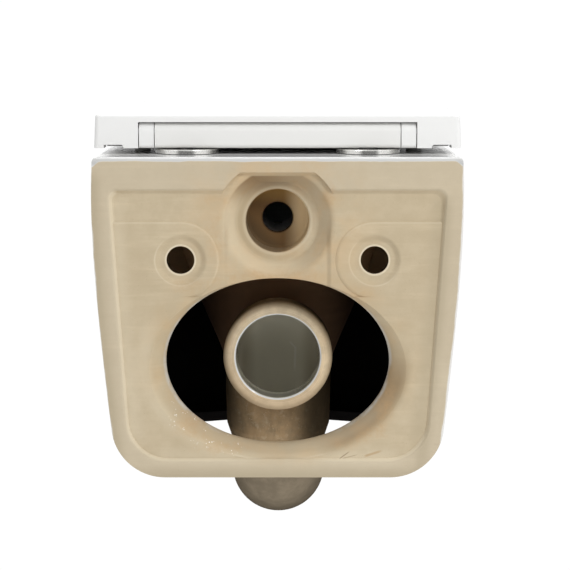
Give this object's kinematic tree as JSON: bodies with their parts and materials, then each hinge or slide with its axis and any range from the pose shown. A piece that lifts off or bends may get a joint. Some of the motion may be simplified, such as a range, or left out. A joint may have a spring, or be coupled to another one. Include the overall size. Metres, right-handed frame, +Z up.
{
  "type": "wall hung toilet",
  "caption": "Wall hung toilet pan of glazed ceramic with unglazed back face, rear outlet and flush inlet, hinged seat ring and wrap-over lid on a rear hinge bar.",
  "frame": {"origin": "midway between the two wall fixing holes, on the plane of their sunk seats, 7.5 mm out from the wall", "axes": "+Y out of the wall towards the front of the pan, +X to the right seen from the wall side, +Z up"},
  "size_m": [0.346, 0.492, 0.4161],
  "materials": {
    "biscuit": "unglazed tan biscuit, matt, with fine specks",
    "glaze": "white glaze, high gloss",
    "trap_biscuit": "unglazed brown biscuit, matt",
    "seat_white": "white moulded plastic, gloss",
    "bar_white": "white moulded plastic, satin gloss",
    "disc_chrome": "bright chrome",
    "post_metal": "satin zinc casting",
    "steel": "bright drawn steel",
    "rubber_white": "soft white rubber, matt",
    "rubber_grey": "grey rubber, matt",
    "plastic_grey": "grey moulded plastic, matt",
    "plastic_white": "white moulded plastic, matt"
  },
  "bodies": {
    "pan": {"pan_back_wall": "biscuit", "pan_skirt": "glaze", "pan_rim_deck": "glaze", "pan_bowl": "glaze", "pan_trap": "trap_biscuit", "pan_flush_channel": "biscuit", "hinge_base_discs": "disc_chrome", "hinge_disc_gaskets": "rubber_grey", "hinge_posts": "post_metal", "hinge_post_shafts": "steel", "seat_bolts": "steel", "seat_bolt_washers": "rubber_grey", "seat_wing_nuts": "plastic_white"},
    "seat": {"seat_ring": "seat_white", "hinge_bar": "bar_white", "seat_damper": "plastic_grey", "bar_inner_bush": "plastic_white", "bar_end_bush": "plastic_white", "lid_damper": "plastic_grey", "seat_buffers": "rubber_white"},
    "lid": {"lid": "seat_white", "lid_pins": "steel", "lid_buffers": "rubber_white"}
  },
  "joints": [
    {"name": "seat_hinge", "type": "hinge", "parent": "pan", "child": "seat", "pos_m": [0, 0.043, 0.1172], "axis": [1, 0, 0], "range_deg": [0, 90]},
    {"name": "lid_hinge", "type": "hinge", "parent": "seat", "child": "lid", "pos_m": [0, 0.043, 0.1172], "axis": [1, 0, 0], "range_deg": [0, 90]}
  ]
}
